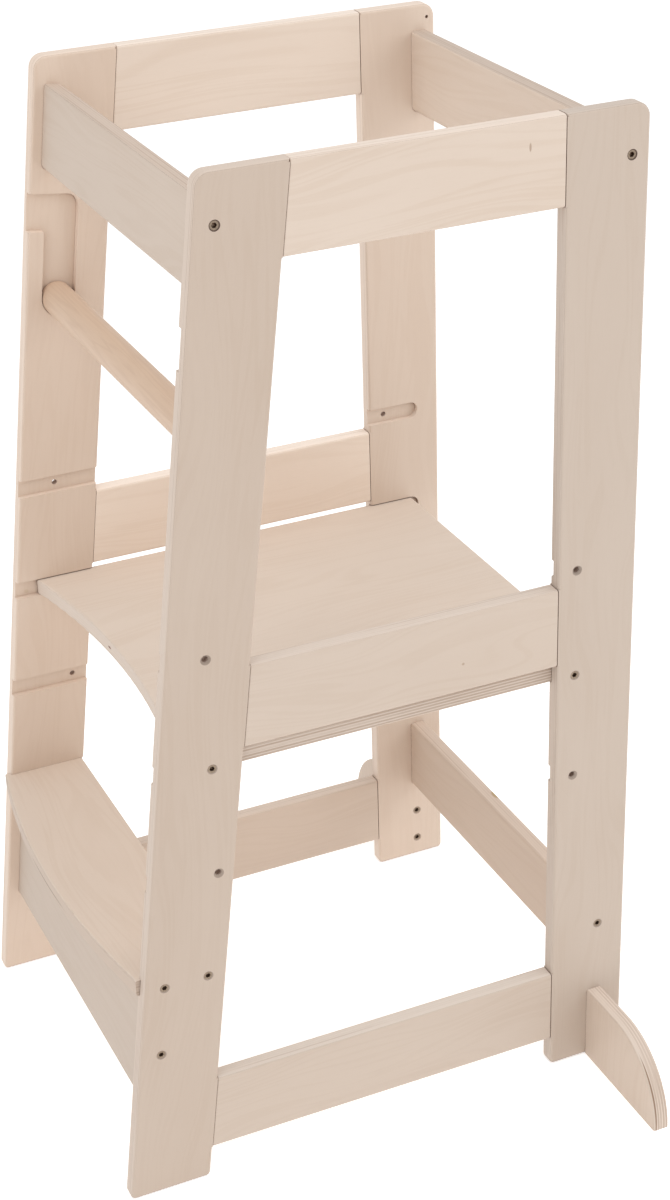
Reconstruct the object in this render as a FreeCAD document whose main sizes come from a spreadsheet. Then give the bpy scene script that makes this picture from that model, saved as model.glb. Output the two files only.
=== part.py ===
import FreeCAD, Part
import os
import Sketcher

# A child's kitchen tower: two five-board side frames carry a platform at one of
# three heights, a bowed step, a lift-out safety bar and two outrigger feet.
# Frame: +X towards the right side frame, +Y towards the worktop, +Z up.  The
# origin is on the floor, midway between the frames and midway in the depth.

DRIVING_SIZES = (
    # side frames
    ("total_height", 900, "floor to the top of the side frames"),
    ("inner_width", 355, "clear width between the side frames"),
    ("base_depth", 487, "front toe to back edge, on the floor"),
    ("slant_angle", 7.2, "lean of the front legs from upright, degrees"),
    ("board_thickness", 15, "plywood of the side frames, rails, riser and feet"),
    ("leg_width", 73, "width of every leg, square to its length"),
    ("top_rail_height", 73, "side top rails"),
    ("mid_rail_height", 73, "side middle rails"),
    ("mid_rail_gap", 5, "platform up to the side middle rails"),
    ("low_rail_height", 73, "side low rails"),
    ("low_rail_bottom", 30, "floor to the underside of the low rails"),
    # rounding
    ("edge_round", 2.5, "round-over of the long edges"),
    ("under_round", 5, "larger round-over under the cross rails"),
    ("seam_ease", 1.5, "eased end edges of the side rails"),
    ("rim_round", 2, "round-over of the platform, the step and the feet"),
    ("shoulder_round", 12, "outer top corners of the side frames"),
    ("toe_round", 4, "bottom corners of the legs"),
    # cross rails
    ("cross_rail_height", 73, "top and low cross rails"),
    ("cross_rail_drop", 23, "top of the side frames down to the top cross rails"),
    ("front_rail_setback", 10, "front edge of the legs to the front cross rail"),
    ("back_rail_setback", 8, "back edge of the legs to the back cross rail"),
    ("low_cross_setback", 19, "back edge of the legs to the low cross rail"),
    ("low_cross_bottom", 89, "floor to the underside of the low cross rail"),
    ("cross_screw_drop", 17, "top of a cross rail down to its screws"),
    ("cross_dowel_rise", 18, "bottom of a cross rail up to its dowels"),
    # platform and its three levels
    ("middle_level", 412, "floor to the middle groove's centre line"),
    ("level_spacing", 100, "height from one groove to the next"),
    ("platform_thickness", 15, "plywood of the platform"),
    ("platform_setback", 7.3, "legs' front edge at the upper level to the platform"),
    ("platform_reach", 44, "how far the platform runs into the back legs"),
    ("platform_hollow", 22, "depth of the curved cut in the front edge"),
    ("platform_corner_round", 3, "corners of the platform"),
    ("platform_screw_inset", 27, "platform's front and back edges to its screws"),
    ("groove_depth", 5, "depth of the housings in the legs"),
    ("groove_end_room", 7, "groove's blind end past the platform's back edge"),
    # step
    ("step_top", 220, "floor to the top of the step"),
    ("step_thickness", 15, "plywood of the step"),
    ("step_nose", 4.5, "step's front corners ahead of the legs"),
    ("step_bow", 18, "bulge of the step's front edge"),
    ("step_screw_inset", 15.5, "step's back edge to the nearer screw"),
    ("step_screw_spacing", 39, "between the two screws at a step's end"),
    ("riser_height", 119, "riser below the step"),
    ("riser_setback", 11.5, "front edge of the legs to the riser"),
    ("riser_dowel_offset", 38, "riser's screw to the dowel above and below it"),
    # safety bar
    ("bar_diameter", 29, "safety bar"),
    ("bar_end_chamfer", 1.5, "bevel on the bar's ends"),
    ("bar_pocket_depth", 7, "depth of the bar's pockets in the front legs"),
    ("channel_setback", 14.5, "front edge of the leg to the channel"),
    ("channel_drop", 60, "entry's lower lip down to the seat's centre"),
    ("entry_drop", 22, "front cross rail down to the top of the entry"),
    ("entry_room", 5, "height of the entry beyond the bar's diameter"),
    ("entry_round", 12, "inner top corner of the pocket"),
    # feet
    ("foot_length", 123, "foot beyond the side frame"),
    ("foot_height", 73, "foot at the leg, and radius of its curved end"),
    ("foot_setback", 21, "back edge of the leg to the foot"),
    ("foot_low_screw", 20, "floor to the lower foot screw"),
    ("foot_high_screw", 54, "floor to the upper foot screw"),
    # hardware
    ("screw_length", 45, "countersunk socket screw"),
    ("screw_diameter", 5, "screw shank"),
    ("screw_head", 7.2, "screw head"),
    ("screw_sink", 0.8, "face of the board down to the screw heads"),
    ("screw_socket", 4, "hexagon socket, across the flats"),
    ("screw_socket_depth", 2.5, "depth of the hexagon socket"),
    ("screw_tip", 2.5, "length and end diameter of the screw's tip"),
    ("dowel_diameter", 8, "wooden dowels"),
    ("dowel_chamfer", 1, "bevel on the dowels' ends"),
    ("frame_dowel_length", 40, "dowels between the boards of a side frame"),
    ("frame_dowel_inset", 18, "rail's long edges to its dowels"),
    ("cross_dowel_length", 30, "dowels at the ends of the cross rails"),
    ("cross_dowel_bite", 9, "how far a cross rail's dowel enters the leg"),
    ("index_hole", 3, "small blind hole near the top of each back leg"),
    ("index_hole_depth", 6, "depth of that hole"),
    ("index_hole_drop", 12, "top of the leg down to that hole"),
    ("index_hole_inset", 7.5, "back edge of the leg to that hole"),
    # clearances
    ("hole_clearance", 0.1, "radial room around a screw or dowel"),
    ("end_clearance", 0.5, "room past the end of a screw, dowel, bar or platform"),
    ("step_clearance", 0.1, "room above the step in its housing"),
    ("platform_clearance", 1, "room above the platform in its groove"),
    ("bar_clearance", 0.75, "radial room around the bar in its channel"),
    ("rest_clearance", 0.3, "bar to its seat"),
)

document = FreeCAD.newDocument("kitchen_tower")
dims = document.addObject("Spreadsheet::Sheet", "dims")
for row, (alias, value, meaning) in enumerate(DRIVING_SIZES, start=1):
    dims.set(f"A{row}", meaning)
    dims.set(f"B{row}", str(value))
    dims.setAlias(f"B{row}", alias)
document.recompute()

CUT_START = 5.0  # a cut into an edge starts this far outside it
NEAR = 0.05  # two coordinates this close are the same place
X_AXIS = FreeCAD.Vector(1, 0, 0)
Z_AXIS = FreeCAD.Vector(0, 0, 1)
RIGHT, LEFT = 1, -1
SIDES = (("right", RIGHT), ("left", LEFT))


# --- Places, written once as expressions over the driving sizes ---------------

def lean(rise):
    return f"({rise}) * tan(dims.slant_angle)"


def front_edge(height):
    """Depth coordinate of the front legs' front edge at a height."""
    return f"(-dims.base_depth / 2 + {lean(height)})"


def front_seam(height):
    """Depth coordinate of the front legs' inner edge at a height."""
    return f"({front_edge(height)} + dims.leg_width / cos(dims.slant_angle))"


def behind_front(distance, height):
    """A line parallel to the front edge, square distance behind it."""
    return f"({front_edge(height)} + ({distance}) / cos(dims.slant_angle))"


BACK_EDGE = "dims.base_depth / 2"
BACK_SEAM = "(dims.base_depth / 2 - dims.leg_width)"
HALF_WIDTH = "dims.inner_width / 2"
LEVELS = (
    ("upper", "(dims.middle_level + dims.level_spacing)"),
    ("middle", "dims.middle_level"),
    ("lower", "(dims.middle_level - dims.level_spacing)"),
)
GROOVE_HEIGHT = "(dims.platform_thickness + dims.platform_clearance)"
PLATFORM_BOTTOM = f"(dims.middle_level - {GROOVE_HEIGHT} / 2)"
MID_RAIL_BOTTOM = f"({PLATFORM_BOTTOM} + dims.platform_thickness + dims.mid_rail_gap)"
SIDE_RAILS = (
    ("top", "(dims.total_height - dims.top_rail_height)", "dims.total_height",
     "dims.top_rail_height"),
    ("mid", MID_RAIL_BOTTOM, f"({MID_RAIL_BOTTOM} + dims.mid_rail_height)",
     "dims.mid_rail_height"),
    ("low", "dims.low_rail_bottom", "(dims.low_rail_bottom + dims.low_rail_height)",
     "dims.low_rail_height"),
)
PLATFORM_BACK = f"({BACK_SEAM} + dims.platform_reach)"
PLATFORM_FRONT = f"({front_edge(LEVELS[0][1])} + dims.platform_setback)"
PLATFORM_SCREW_FRONT = f"({PLATFORM_FRONT} + dims.platform_screw_inset)"
PLATFORM_SCREW_BACK = f"({PLATFORM_BACK} - dims.platform_screw_inset)"
PLATFORM_SCREW_HEIGHT = f"({PLATFORM_BOTTOM} + dims.platform_thickness / 2)"
STEP_FRONT = f"({front_edge('dims.step_top')} - dims.step_nose)"
STEP_BOTTOM = "(dims.step_top - dims.step_thickness)"
STEP_BACK = front_seam(STEP_BOTTOM)
STEP_SCREW_HEIGHT = "(dims.step_top - dims.step_thickness / 2)"
STEP_SCREWS = (
    f"({STEP_BACK} - dims.step_screw_inset)",
    f"({STEP_BACK} - dims.step_screw_inset - dims.step_screw_spacing)",
)
RISER_MIDDLE = f"({STEP_BOTTOM} - dims.riser_height / 2)"
RISER_CENTRE = "(dims.riser_setback + dims.board_thickness / 2)"
CROSS_TOP = "(dims.total_height - dims.cross_rail_drop)"
CROSS_BOTTOM = f"({CROSS_TOP} - dims.cross_rail_height)"
CROSS_SCREW = f"({CROSS_TOP} - dims.cross_screw_drop)"
CROSS_DOWEL = f"({CROSS_BOTTOM} + dims.cross_dowel_rise)"
FRONT_RAIL_CENTRE = "(dims.front_rail_setback + dims.board_thickness / 2)"
BACK_RAIL_CENTRE = f"({BACK_EDGE} - dims.back_rail_setback - dims.board_thickness / 2)"
LOW_CROSS_CENTRE = f"({BACK_EDGE} - dims.low_cross_setback - dims.board_thickness / 2)"
LOW_CROSS_TOP = "(dims.low_cross_bottom + dims.cross_rail_height)"
LOW_CROSS_SCREW = f"({LOW_CROSS_TOP} - dims.cross_screw_drop)"
LOW_CROSS_DOWEL = "(dims.low_cross_bottom + dims.cross_dowel_rise)"
FOOT_CENTRE = f"({BACK_EDGE} - dims.foot_setback - dims.board_thickness / 2)"
FOOT_SCREWS = ("dims.foot_low_screw", "dims.foot_high_screw")
SCREW_HOLE = "(dims.screw_diameter / 2 + dims.hole_clearance)"
DOWEL_HOLE = "(dims.dowel_diameter / 2 + dims.hole_clearance)"
SCREW_REACH = "(dims.screw_length + dims.screw_sink)"
SCREW_BITE = f"({SCREW_REACH} - dims.board_thickness + dims.end_clearance)"
CHANNEL_WIDTH = "(dims.bar_diameter + 2 * dims.bar_clearance)"
CHANNEL_CENTRE = f"(dims.channel_setback + {CHANNEL_WIDTH} / 2)"
FRONT_RAIL_RISE = "dims.cross_rail_height * cos(dims.slant_angle)"
FRONT_RAIL_BOTTOM = f"({CROSS_TOP} - {FRONT_RAIL_RISE})"

# Distances up the front leg, along its front edge from the floor
ENTRY_TOP = (f"(({FRONT_RAIL_BOTTOM} + dims.front_rail_setback * sin(dims.slant_angle))"
             " / cos(dims.slant_angle) - dims.entry_drop)")
ENTRY_LIP = f"({ENTRY_TOP} - dims.bar_diameter - dims.entry_room)"
CHANNEL_SEAT = f"({ENTRY_LIP} - dims.channel_drop)"

# (depth, height) of each cross piece's screws and dowels where it meets a leg
FRONT_JOINTS = {
    "front_top_rail": (
        [(behind_front(FRONT_RAIL_CENTRE, CROSS_SCREW), CROSS_SCREW)],
        [(behind_front(FRONT_RAIL_CENTRE, CROSS_DOWEL), CROSS_DOWEL)],
    ),
    "step_riser": (
        [(behind_front(RISER_CENTRE, RISER_MIDDLE), RISER_MIDDLE)],
        [(behind_front(RISER_CENTRE, height), height) for height in (
            f"({RISER_MIDDLE} + dims.riser_dowel_offset)",
            f"({RISER_MIDDLE} - dims.riser_dowel_offset)")],
    ),
}
BACK_JOINTS = {
    "back_top_rail": (
        [(BACK_RAIL_CENTRE, CROSS_SCREW)],
        [(BACK_RAIL_CENTRE, CROSS_DOWEL)],
    ),
    "back_low_rail": (
        [(LOW_CROSS_CENTRE, LOW_CROSS_SCREW)],
        [(LOW_CROSS_CENTRE, LOW_CROSS_DOWEL)],
    ),
}


def value_of(expression):
    """The present value of an expression, in millimetres."""
    return float(dims.evalExpression(expression))


# --- Sketches -----------------------------------------------------------------

def origin_plane(body, role):
    return next(f for f in body.Origin.OriginFeatures if f.Role == role)


def start_sketch(body, name, plane, offset=None, turn=None):
    """A sketch on one of the body's own planes, offset along its normal."""
    sketch = body.newObject("Sketcher::SketchObject", name)
    sketch.AttachmentSupport = [(origin_plane(body, plane), "")]
    sketch.MapMode = "FlatFace"
    if offset is not None:
        sketch.setExpression("AttachmentOffset.Base.z", offset)
    if turn is not None:
        sketch.AttachmentOffset = FreeCAD.Placement(
            FreeCAD.Vector(), FreeCAD.Rotation(Z_AXIS, value_of(turn)))
        sketch.setExpression("AttachmentOffset.Rotation.Angle", turn)
    return sketch


def pin_point(sketch, geometry, point, name, place):
    """Hold one point of the sketch at two expressions."""
    for kind, letter, expression in zip(("DistanceX", "DistanceY"), "uv", place):
        index = sketch.addConstraint(Sketcher.Constraint(
            kind, -1, 1, geometry, point, value_of(expression)))
        sketch.renameConstraint(index, name + letter)
        sketch.setExpression(f"Constraints.{name}{letter}", expression)


def outline_sketch(body, name, plane, corners, arcs=None, **where):
    """A closed outline.  arcs maps an edge to its radius and how far the
    edge's middle stands to the right of the straight line."""
    arcs = arcs or {}
    sketch = start_sketch(body, name, plane, **where)
    places = [FreeCAD.Vector(value_of(u), value_of(v), 0) for u, v in corners]
    count = len(corners)
    for edge, start in enumerate(places):
        end = places[(edge + 1) % count]
        if edge in arcs:
            bulge = value_of(arcs[edge][1])
            along = (end - start).normalize()
            crown = (start + end) * 0.5 + FreeCAD.Vector(along.y, -along.x, 0) * bulge
            first, last = (start, end) if bulge > 0 else (end, start)
            sketch.addGeometry(Part.Arc(first, crown, last), False)
        else:
            sketch.addGeometry(Part.LineSegment(start, end), False)
    backwards = {edge for edge in arcs if value_of(arcs[edge][1]) < 0}
    ends = [(2, 1) if edge in backwards else (1, 2) for edge in range(count)]
    for edge in range(count):
        following = (edge + 1) % count
        sketch.addConstraint(Sketcher.Constraint(
            "Coincident", edge, ends[edge][1], following, ends[following][0]))
    for edge, place in enumerate(corners):
        pin_point(sketch, edge, ends[edge][0], f"corner{edge}", place)
    for edge, (radius, bulge) in arcs.items():
        index = sketch.addConstraint(Sketcher.Constraint("Radius", edge, value_of(radius)))
        sketch.renameConstraint(index, f"radius{edge}")
        sketch.setExpression(f"Constraints.radius{edge}", radius)
    return sketch


def circle_sketch(body, name, plane, centres, radius, **where):
    sketch = start_sketch(body, name, plane, **where)
    for number, place in enumerate(centres):
        centre = FreeCAD.Vector(value_of(place[0]), value_of(place[1]), 0)
        sketch.addGeometry(Part.Circle(centre, Z_AXIS, value_of(radius)), False)
        pin_point(sketch, number, 3, f"centre{number}", place)
        index = sketch.addConstraint(
            Sketcher.Constraint("Radius", number, value_of(radius)))
        sketch.renameConstraint(index, f"radius{number}")
        sketch.setExpression(f"Constraints.radius{number}", radius)
    return sketch


# --- Features -----------------------------------------------------------------

def start_body(label, depth=None, height=None, across=None):
    body = document.addObject("PartDesign::Body", label)
    body.Label = label
    for axis, expression in (("x", across), ("y", depth), ("z", height)):
        if expression is not None:
            body.setExpression(f"Placement.Base.{axis}", expression)
    return body


def pad(body, name, sketch, length, reverse=False, both_ways=False):
    feature = body.newObject("PartDesign::Pad", name)
    feature.Profile = sketch
    feature.setExpression("Length", length)
    feature.Reversed = reverse
    if both_ways:
        feature.SideType = "Symmetric"
    document.recompute()
    return feature


def pocket(body, name, sketch, length, reverse=False):
    """Cut along the sketch's normal; a cut that removes nothing is an error."""
    before = body.Shape.Volume
    feature = body.newObject("PartDesign::Pocket", name)
    feature.Profile = sketch
    feature.setExpression("Length", length)
    feature.Reversed = reverse
    document.recompute()
    if not body.Shape.Volume < before:
        raise ValueError(f"{body.Label}: {name} cuts nothing")
    return feature


def edges_where(shape, wanted):
    return [f"Edge{n}" for n, edge in enumerate(shape.Edges, start=1) if wanted(edge)]


def soften(body, kind, name, size_property, size, wanted):
    """Fillet or chamfer the body's edges that the test picks."""
    base = body.Tip
    feature = body.newObject(f"PartDesign::{kind}", name)
    feature.Base = (base, edges_where(base.Shape, wanted))
    feature.setExpression(size_property, size)
    document.recompute()
    return feature


def fillet(body, name, radius, wanted):
    return soften(body, "Fillet", name, "Radius", radius, wanted)


def chamfer(body, name, size, wanted):
    return soften(body, "Chamfer", name, "Size", size, wanted)


def middle(edge):
    return edge.valueAt((edge.FirstParameter + edge.LastParameter) / 2)


def crosses_board(edge, place):
    """True for an edge along X that passes through a (depth, height) place."""
    low, high = edge.BoundBox.XMin, edge.BoundBox.XMax
    point = middle(edge)
    return (high - low > 1 and edge.BoundBox.YLength < NEAR
            and edge.BoundBox.ZLength < NEAR
            and abs(point.y - value_of(place[0])) < NEAR
            and abs(point.z - value_of(place[1])) < NEAR)


def on_board_face(edge):
    """True for an edge that lies flat in one of the faces square to X."""
    return edge.BoundBox.XLength < NEAR


# --- Side frames --------------------------------------------------------------

def seam_land(body, name, seam, into_leg, bottom, top, thickness_way):
    """Square up the leg's inner edge where a rail butts against it."""
    inward = f"{into_leg} * 2 * dims.edge_round"
    corners = [(seam(bottom), bottom), (f"{seam(bottom)} + {inward}", bottom),
               (f"{seam(top)} + {inward}", top), (seam(top), top)]
    if into_leg < 0:
        corners.reverse()
    sketch = outline_sketch(body, name + "_outline", "YZ_Plane", corners)
    pad(body, name, sketch, "dims.board_thickness", reverse=thickness_way)


def leg_blank(label, side, corners, shoulder, toes):
    body = start_body(label, across=f"{side} * {HALF_WIDTH}")
    sketch = outline_sketch(body, "outline", "YZ_Plane", corners)
    pad(body, "board", sketch, "dims.board_thickness", reverse=side == LEFT)
    fillet(body, "shoulder", "dims.shoulder_round",
           lambda edge: crosses_board(edge, shoulder))
    fillet(body, "toes", "dims.toe_round",
           lambda edge: any(crosses_board(edge, toe) for toe in toes))
    fillet(body, "long_edges", "dims.edge_round", on_board_face)
    return body


def add_seam_lands(body, side, seam, into_leg):
    for name, bottom, top, height in SIDE_RAILS:
        if name == "top":
            top = f"({top} - dims.edge_round)"
        seam_land(body, f"{name}_land", seam, into_leg, bottom, top, side == LEFT)


def drill_frame_dowels(body, side, seam, into_leg):
    """Blind holes in the leg's inner edge for the dowels of its three rails."""
    for name, bottom, top, height in SIDE_RAILS:
        centre = f"({bottom} + {height} / 2)"
        holes = [(f"{side} * dims.board_thickness / 2", place) for place in (
            f"({bottom} + dims.frame_dowel_inset)", f"({top} - dims.frame_dowel_inset)")]
        start = f"-({seam(centre)} - {into_leg} * {CUT_START})"
        sketch = circle_sketch(body, f"{name}_dowel_holes_outline", "XZ_Plane", holes,
                               DOWEL_HOLE, offset=start)
        depth = f"dims.frame_dowel_length / 2 + dims.end_clearance + {CUT_START}"
        pocket(body, f"{name}_dowel_holes", sketch, depth, reverse=into_leg < 0)


def drill_screws(body, side, name, places, from_outside=True):
    """Countersunk through holes, entered from the outer or the inner face."""
    face = f"{side} * dims.board_thickness" if from_outside else "0"
    away = side if from_outside else -side
    sketch = circle_sketch(body, f"{name}_outline", "YZ_Plane", places, SCREW_HOLE,
                           offset=face)
    pocket(body, name, sketch, "dims.board_thickness", reverse=away < 0)
    face_x = value_of(face)
    hole = value_of(SCREW_HOLE)
    centres = [(value_of(depth), value_of(height)) for depth, height in places]

    def mouth(edge):
        if edge.Curve.TypeId != "Part::GeomCircle" or abs(edge.Curve.Radius - hole) > NEAR:
            return False
        centre = edge.Curve.Center
        return abs(centre.x - face_x) < NEAR and any(
            abs(centre.y - depth) < NEAR and abs(centre.z - height) < NEAR
            for depth, height in centres)

    chamfer(body, f"{name}_countersinks",
            "(dims.screw_head - dims.screw_diameter) / 2 + dims.screw_sink", mouth)


def drill_cross_dowels(body, side, name, places):
    sketch = circle_sketch(body, f"{name}_outline", "YZ_Plane", places, DOWEL_HOLE)
    pocket(body, name, sketch, "dims.cross_dowel_bite + dims.end_clearance",
           reverse=side == RIGHT)


def cut_level(body, side, name, corners):
    sketch = outline_sketch(body, f"{name}_outline", "YZ_Plane", corners)
    pocket(body, name, sketch, "dims.groove_depth", reverse=side == RIGHT)


def through_groove(bottom, top):
    """A housing across the whole front leg, run out past both its edges."""
    return [(f"{front_edge(bottom)} - {CUT_START}", bottom),
            (f"{front_seam(bottom)} + {CUT_START}", bottom),
            (f"{front_seam(top)} + {CUT_START}", top),
            (f"{front_edge(top)} - {CUT_START}", top)]


def cut_bar_pocket(body, side):
    """An inverted L in the inner face: in at the front, then down to a seat."""
    back = f"(dims.channel_setback + {CHANNEL_WIDTH})"
    toe = ("-dims.base_depth / 2 * cos(dims.slant_angle)",
           "dims.base_depth / 2 * sin(dims.slant_angle) * -1")

    def along_leg(setback, length):
        return (f"{toe[0]} + {setback}", f"{toe[1]} + {length}")

    turn = "-dims.slant_angle"
    corners = [along_leg(f"-{CUT_START}", ENTRY_LIP),
               along_leg("dims.channel_setback", ENTRY_LIP),
               along_leg("dims.channel_setback", CHANNEL_SEAT),
               along_leg(back, CHANNEL_SEAT),
               along_leg(back, f"{ENTRY_TOP} - dims.entry_round"),
               along_leg(f"{back} - dims.entry_round", ENTRY_TOP),
               along_leg(f"-{CUT_START}", ENTRY_TOP)]
    rounded = {4: ("dims.entry_round", "dims.entry_round * (1 - cos(45))")}
    sketch = outline_sketch(body, "bar_channel_outline", "YZ_Plane", corners, rounded,
                            turn=turn)
    pocket(body, "bar_channel", sketch, "dims.bar_pocket_depth", reverse=side == RIGHT)
    seat = circle_sketch(body, "bar_seat_outline", "YZ_Plane",
                         [along_leg(CHANNEL_CENTRE, CHANNEL_SEAT)],
                         f"{CHANNEL_WIDTH} / 2", turn=turn)
    pocket(body, "bar_seat", seat, "dims.bar_pocket_depth", reverse=side == RIGHT)


def make_front_leg(word, side):
    top = "dims.total_height"
    corners = [(front_edge("0"), "0"), (front_seam("0"), "0"),
               (front_seam(top), top), (front_edge(top), top)]
    body = leg_blank(f"{word}_front_leg", side, corners, corners[3], corners[:2])
    add_seam_lands(body, side, front_seam, -1)
    for name, centre in LEVELS:
        low = f"({centre} - {GROOVE_HEIGHT} / 2)"
        high = f"({centre} + {GROOVE_HEIGHT} / 2)"
        cut_level(body, side, f"{name}_groove", through_groove(low, high))
    cut_level(body, side, "step_housing",
              through_groove(STEP_BOTTOM, "(dims.step_top + dims.step_clearance)"))
    cut_bar_pocket(body, side)
    drill_frame_dowels(body, side, front_seam, -1)
    screws = [(PLATFORM_SCREW_FRONT, PLATFORM_SCREW_HEIGHT)]
    screws += [(PLATFORM_SCREW_FRONT, f"({PLATFORM_SCREW_HEIGHT} {sign} dims.level_spacing)")
               for sign in "+-"]
    screws += [(depth, STEP_SCREW_HEIGHT) for depth in STEP_SCREWS]
    dowels = []
    for joint_screws, joint_dowels in FRONT_JOINTS.values():
        screws += joint_screws
        dowels += joint_dowels
    drill_screws(body, side, "screw_holes", screws)
    drill_cross_dowels(body, side, "cross_dowel_holes", dowels)


def make_back_leg(word, side):
    top = "dims.total_height"
    corners = [(BACK_SEAM, "0"), (BACK_EDGE, "0"), (BACK_EDGE, top), (BACK_SEAM, top)]
    body = leg_blank(f"{word}_back_leg", side, corners, corners[2], corners[:2])
    seam = lambda height: BACK_SEAM
    add_seam_lands(body, side, seam, 1)
    for name, centre in LEVELS:
        low = f"({centre} - {GROOVE_HEIGHT} / 2)"
        high = f"({centre} + {GROOVE_HEIGHT} / 2)"
        straight_end = f"({PLATFORM_BACK} + dims.groove_end_room - {GROOVE_HEIGHT} / 2)"
        mouth = f"({BACK_SEAM} - {CUT_START})"
        cut_level(body, side, f"{name}_groove",
                  [(mouth, low), (straight_end, low), (straight_end, high), (mouth, high)])
        end = circle_sketch(body, f"{name}_groove_end_outline", "YZ_Plane",
                            [(straight_end, centre)], f"{GROOVE_HEIGHT} / 2")
        pocket(body, f"{name}_groove_end", end, "dims.groove_depth", reverse=side == RIGHT)
    drill_frame_dowels(body, side, seam, 1)
    screws = [(PLATFORM_SCREW_BACK, PLATFORM_SCREW_HEIGHT)]
    screws += [(PLATFORM_SCREW_BACK, f"({PLATFORM_SCREW_HEIGHT} {sign} dims.level_spacing)")
               for sign in "+-"]
    dowels = []
    for joint_screws, joint_dowels in BACK_JOINTS.values():
        screws += joint_screws
        dowels += joint_dowels
    drill_screws(body, side, "screw_holes", screws)
    drill_screws(body, side, "foot_screw_holes",
                 [(FOOT_CENTRE, height) for height in FOOT_SCREWS], from_outside=False)
    drill_cross_dowels(body, side, "cross_dowel_holes", dowels)
    index = circle_sketch(body, "index_hole_outline", "YZ_Plane",
                          [(f"{BACK_EDGE} - dims.index_hole_inset",
                            "dims.total_height - dims.index_hole_drop")],
                          "dims.index_hole / 2")
    pocket(body, "index_hole", index, "dims.index_hole_depth", reverse=side == RIGHT)


def make_side_rail(word, side, name, bottom, top, height):
    body = start_body(f"{word}_{name}_rail", across=f"{side} * {HALF_WIDTH}")
    corners = [(front_seam(bottom), bottom), (BACK_SEAM, bottom),
               (BACK_SEAM, top), (front_seam(top), top)]
    sketch = outline_sketch(body, "outline", "YZ_Plane", corners)
    pad(body, "board", sketch, "dims.board_thickness", reverse=side == LEFT)
    low, high = value_of(bottom), value_of(top)

    def long_edge(edge):
        point = middle(edge)
        return on_board_face(edge) and (
            abs(point.z - low) < NEAR or abs(point.z - high) < NEAR)

    def end_edge(edge):
        point = middle(edge)
        return on_board_face(edge) and abs(point.z - (low + high) / 2) < 1

    fillet(body, "long_edges", "dims.edge_round", long_edge)
    fillet(body, "end_edges", "dims.seam_ease", end_edge)
    centre = f"({bottom} + {height} / 2)"
    holes = [(f"{side} * dims.board_thickness / 2", place) for place in (
        f"({bottom} + dims.frame_dowel_inset)", f"({top} - dims.frame_dowel_inset)")]
    depth = f"dims.frame_dowel_length / 2 + dims.end_clearance + {CUT_START}"
    front = circle_sketch(body, "front_dowel_holes_outline", "XZ_Plane", holes, DOWEL_HOLE,
                          offset=f"-({front_seam(centre)} - {CUT_START})")
    pocket(body, "front_dowel_holes", front, depth)
    back = circle_sketch(body, "back_dowel_holes_outline", "XZ_Plane", holes, DOWEL_HOLE,
                         offset=f"-({BACK_SEAM} + {CUT_START})")
    pocket(body, "back_dowel_holes", back, depth, reverse=True)


# --- Pieces between the frames ------------------------------------------------

def make_cross_piece(label, corners, screws, dowels, under_edge=None, sharp_edges=()):
    """A board between the frames, its section drawn in depth and height."""
    body = start_body(label)
    sketch = outline_sketch(body, "section", "YZ_Plane", corners)
    pad(body, "board", sketch, "dims.inner_width", both_ways=True)
    if under_edge is not None:
        fillet(body, "under_edge", "dims.under_round",
               lambda edge: crosses_board(edge, corners[under_edge]))
    plain = [corner for number, corner in enumerate(corners)
             if number != under_edge and number not in sharp_edges]
    fillet(body, "long_edges", "dims.edge_round",
           lambda edge: any(crosses_board(edge, corner) for corner in plain))
    for word, side in SIDES:
        end = f"{side} * {HALF_WIDTH}"
        pilot = circle_sketch(body, f"{word}_pilot_outline", "YZ_Plane", screws,
                              SCREW_HOLE, offset=end)
        pocket(body, f"{word}_pilot", pilot, SCREW_BITE, reverse=side == LEFT)
        holes = circle_sketch(body, f"{word}_dowel_outline", "YZ_Plane", dowels,
                              DOWEL_HOLE, offset=end)
        pocket(body, f"{word}_dowel_holes", holes,
               "dims.cross_dowel_length - dims.cross_dowel_bite + dims.end_clearance",
               reverse=side == LEFT)


def slanted_section(setback, bottom, top, square_top=True):
    """Section of a board parallel to the front legs, square distance behind
    their front edge.  Its top is square to the board or level."""
    thickness = "dims.board_thickness"
    drop = f"{thickness} * sin(dims.slant_angle)"
    back_low = f"({bottom} - {drop})"
    back_high = f"({top} - {drop})" if square_top else top
    deeper = f"({setback} + {thickness})"
    return [(behind_front(setback, bottom), bottom), (behind_front(deeper, back_low), back_low),
            (behind_front(deeper, back_high), back_high), (behind_front(setback, top), top)]


def upright_section(centre, bottom, top):
    front = f"({centre} - dims.board_thickness / 2)"
    back = f"({centre} + dims.board_thickness / 2)"
    return [(front, bottom), (back, bottom), (back, top), (front, top)]


def make_cross_pieces():
    make_cross_piece("front_top_rail",
                     slanted_section("dims.front_rail_setback", FRONT_RAIL_BOTTOM, CROSS_TOP),
                     *FRONT_JOINTS["front_top_rail"], under_edge=0)
    make_cross_piece("back_top_rail",
                     upright_section(BACK_RAIL_CENTRE, CROSS_BOTTOM, CROSS_TOP),
                     *BACK_JOINTS["back_top_rail"], under_edge=0)
    make_cross_piece("back_low_rail",
                     upright_section(LOW_CROSS_CENTRE, "dims.low_cross_bottom", LOW_CROSS_TOP),
                     *BACK_JOINTS["back_low_rail"])
    make_cross_piece("step_riser",
                     slanted_section("dims.riser_setback",
                                     f"({STEP_BOTTOM} - dims.riser_height)", STEP_BOTTOM,
                                     square_top=False),
                     *FRONT_JOINTS["step_riser"], sharp_edges=(2, 3))


def arc_radius(half_chord, rise):
    return f"(({half_chord}) ^ 2 + ({rise}) ^ 2) / (2 * ({rise}))"


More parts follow.
